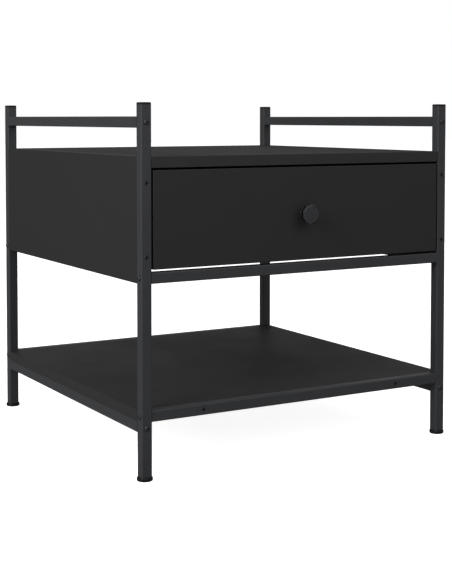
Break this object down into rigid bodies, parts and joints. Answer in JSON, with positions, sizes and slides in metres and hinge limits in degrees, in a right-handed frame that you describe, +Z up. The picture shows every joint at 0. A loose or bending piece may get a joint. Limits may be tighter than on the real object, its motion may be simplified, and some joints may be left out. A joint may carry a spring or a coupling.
{
  "type": "side table with drawer",
  "caption": "Low square side table: square-tube metal frame with guard rails, a boarded case holding a drawer on ball-bearing slides, and an open lower shelf.",
  "frame": {"origin": "on the floor, under the middle of the table's box, with the knob and the feet counted", "axes": "+Z up, -Y out of the drawer front, +X to the right as seen from the front"},
  "size_m": [0.5164, 0.5332, 0.5],
  "materials": {
    "black_powder_coat": "satin fine-textured powder coat on steel tube",
    "black_melamine_board": "matte melamine-faced chipboard with edge banding",
    "black_hardboard": "painted hardboard",
    "black_plastic": "moulded",
    "black_fasteners": "black zinc",
    "knob_metal": "satin black on cast metal",
    "zinc_plated_steel": "zinc plated",
    "cast_zinc": "die cast",
    "bearing_steel": "polished",
    "beech": "turned"
  },
  "bodies": {
    "frame": {"leg_front_left": "black_powder_coat", "leg_front_right": "black_powder_coat", "leg_back_left": "black_powder_coat", "leg_back_right": "black_powder_coat", "guard_rail_left": "black_powder_coat", "guard_rail_right": "black_powder_coat", "case_rail_front": "black_powder_coat", "case_rail_back": "black_powder_coat", "shelf_rail_front": "black_powder_coat", "shelf_rail_back": "black_powder_coat", "shelf_rail_left": "black_powder_coat", "shelf_rail_right": "black_powder_coat", "leg_cap_front_left": "black_plastic", "leg_cap_front_right": "black_plastic", "leg_cap_back_left": "black_plastic", "leg_cap_back_right": "black_plastic", "foot_front_left": "black_plastic", "foot_front_right": "black_plastic", "foot_back_left": "black_plastic", "foot_back_right": "black_plastic", "top_board": "black_melamine_board", "side_panel_left": "black_melamine_board", "side_panel_right": "black_melamine_board", "back_panel": "black_melamine_board", "shelf_board": "black_melamine_board", "rail_end_nuts": "zinc_plated_steel", "rail_bolts": "black_fasteners", "panel_screws": "black_fasteners", "shelf_screws": "black_fasteners", "back_panel_screws": "black_fasteners", "case_cam_locks": "cast_zinc", "case_cam_bolts": "zinc_plated_steel", "case_dowels": "beech", "case_slide_left": "zinc_plated_steel", "case_slide_right": "zinc_plated_steel", "case_slide_screws": "zinc_plated_steel"},
    "drawer": {"drawer_front": "black_melamine_board", "drawer_side_left": "black_melamine_board", "drawer_side_right": "black_melamine_board", "drawer_back": "black_melamine_board", "drawer_bottom": "black_hardboard", "drawer_cam_locks": "cast_zinc", "drawer_cam_bolts": "zinc_plated_steel", "drawer_back_screws": "zinc_plated_steel", "drawer_slide_left": "zinc_plated_steel", "drawer_slide_right": "zinc_plated_steel", "drawer_slide_screws": "zinc_plated_steel", "knob": "knob_metal", "knob_screw": "zinc_plated_steel"},
    "cage_left": {"ball_cage_left": "zinc_plated_steel", "slide_balls_left": "bearing_steel"},
    "cage_right": {"ball_cage_right": "zinc_plated_steel", "slide_balls_right": "bearing_steel"}
  },
  "joints": [
    {"name": "drawer_slide", "type": "slide", "parent": "frame", "child": "drawer", "axis": [0, -1, 0], "range_m": [0, 0.3]},
    {"name": "cage_left_slide", "type": "slide", "parent": "frame", "child": "cage_left", "axis": [0, -1, 0], "range_m": [0, 0.15]},
    {"name": "cage_right_slide", "type": "slide", "parent": "frame", "child": "cage_right", "axis": [0, -1, 0], "range_m": [0, 0.15]}
  ],
  "couplings": [
    {"joint": "cage_left_slide", "follows": "drawer_slide", "ratio": 0.5},
    {"joint": "cage_right_slide", "follows": "drawer_slide", "ratio": 0.5}
  ]
}
